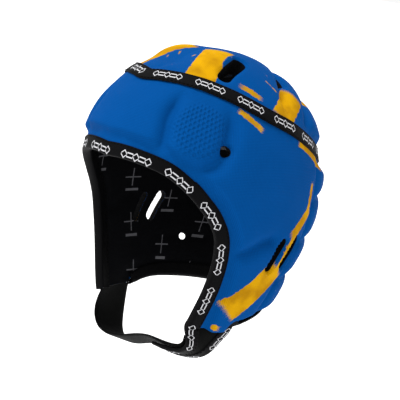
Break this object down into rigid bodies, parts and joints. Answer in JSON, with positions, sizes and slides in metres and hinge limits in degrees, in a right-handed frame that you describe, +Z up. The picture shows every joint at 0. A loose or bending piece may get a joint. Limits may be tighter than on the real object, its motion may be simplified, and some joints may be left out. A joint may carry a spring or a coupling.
{
  "type": "rugby scrum cap",
  "caption": "Padded scrum cap for rugby with cheek flaps, ear slots, open slots in the crown, taped edges and a strap closed under the chin.",
  "frame": {"origin": "inside of the crown's highest point, where the top of the head sits", "axes": "+Z up, -Y the way the wearer faces, +X towards the wearer's left ear"},
  "size_m": [0.185, 0.2253, 0.2612],
  "materials": {
    "shell": "matt knitted cloth over foam, a little sheen",
    "lining": "matt knitted cloth",
    "tape": "ribbed woven tape",
    "strap": "smooth elastic cloth with a low sheen"
  },
  "bodies": {
    "root": {"wrap_panel": "shell", "crown_panel": "shell", "wrap_lining": "lining", "crown_lining": "lining", "face_binding": "tape", "neck_binding": "tape", "crown_binding": "tape", "chin_strap": "strap", "chin_tab": "strap"}
  },
  "joints": []
}
